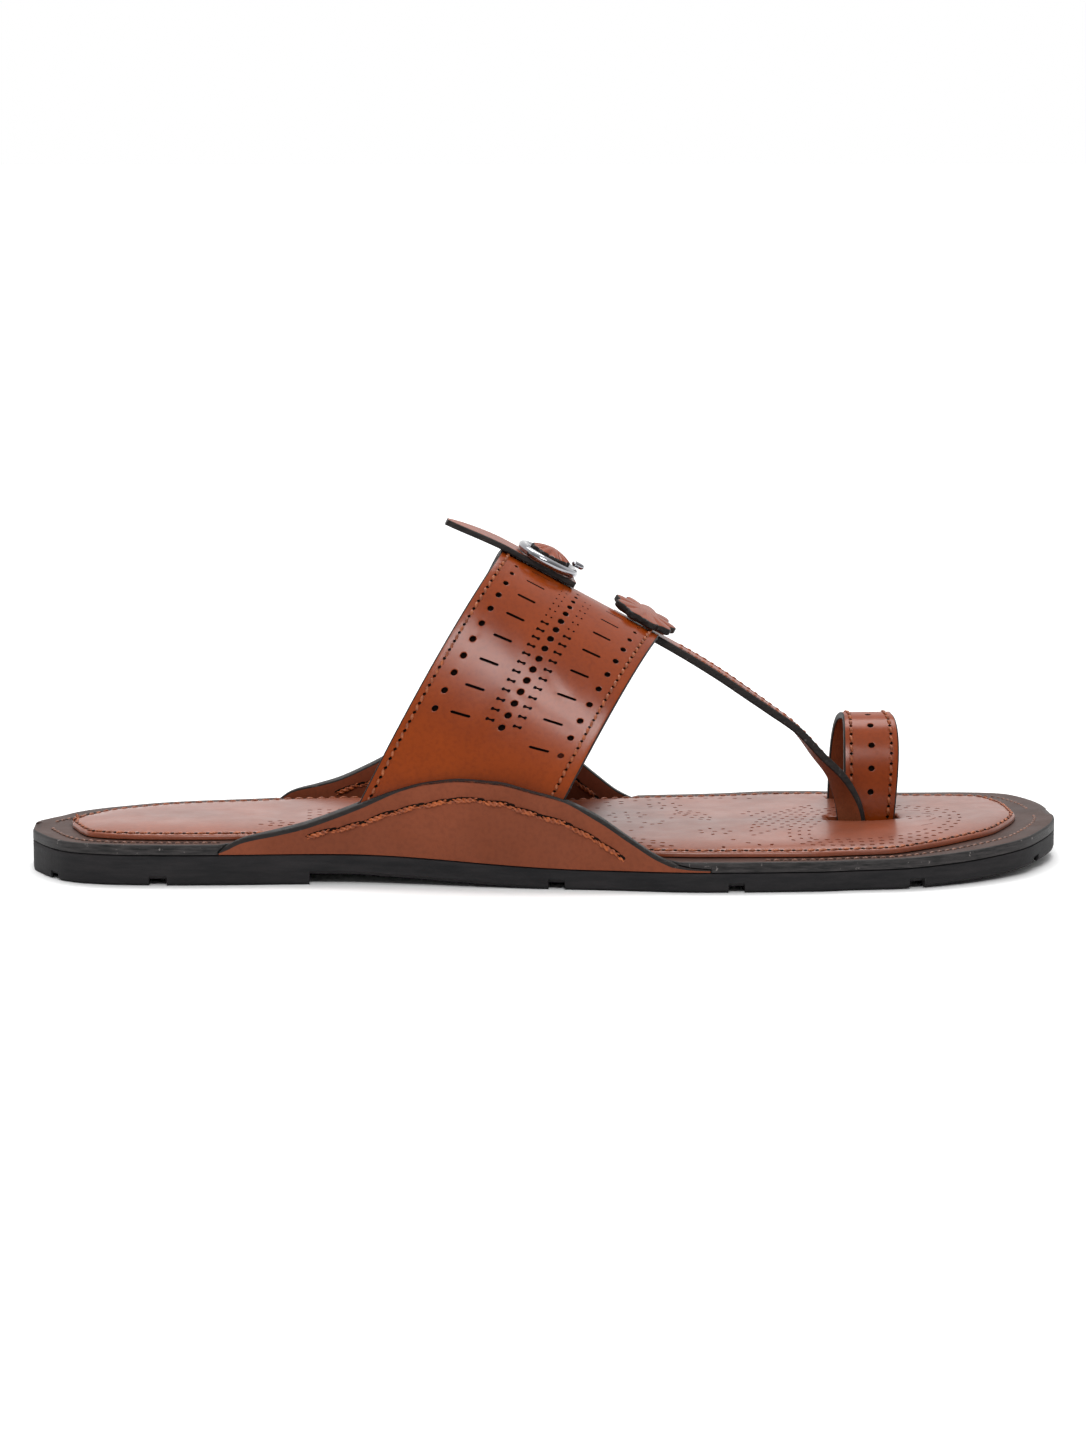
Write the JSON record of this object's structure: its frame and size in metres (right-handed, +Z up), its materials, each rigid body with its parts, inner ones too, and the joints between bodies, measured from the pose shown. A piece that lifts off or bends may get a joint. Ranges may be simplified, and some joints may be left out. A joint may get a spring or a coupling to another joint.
{
  "type": "kolhapuri sandal",
  "caption": "Flat leather sandal with a punched instep band, a toe strap, a big-toe loop and side flaps on a layered sole.",
  "frame": {"origin": "middle of the underside of the sandal's box, on the floor", "axes": "+X towards the toe, +Y towards the inner (big toe) side, +Z up"},
  "size_m": [0.286, 0.104, 0.0952],
  "materials": {
    "outsole_rubber": "matte, finely treaded",
    "board_leather": "matte board leather with a black painted edge",
    "footbed_leather": "smooth satin with punched dashes",
    "band_leather": "smooth satin with dark painted edges",
    "flap_leather": "dull grained leather with dark painted edges",
    "bright_metal": "polished"
  },
  "bodies": {
    "root": {"outsole": "outsole_rubber", "midsole": "board_leather", "footbed": "footbed_leather", "upper": "band_leather", "side_flap_outer": "flap_leather", "side_flap_inner": "flap_leather", "buckle_strap": "band_leather", "buckle_ring": "bright_metal", "buckle_prong": "bright_metal", "buckle_rosette": "band_leather", "front_rosette": "band_leather"}
  },
  "joints": []
}
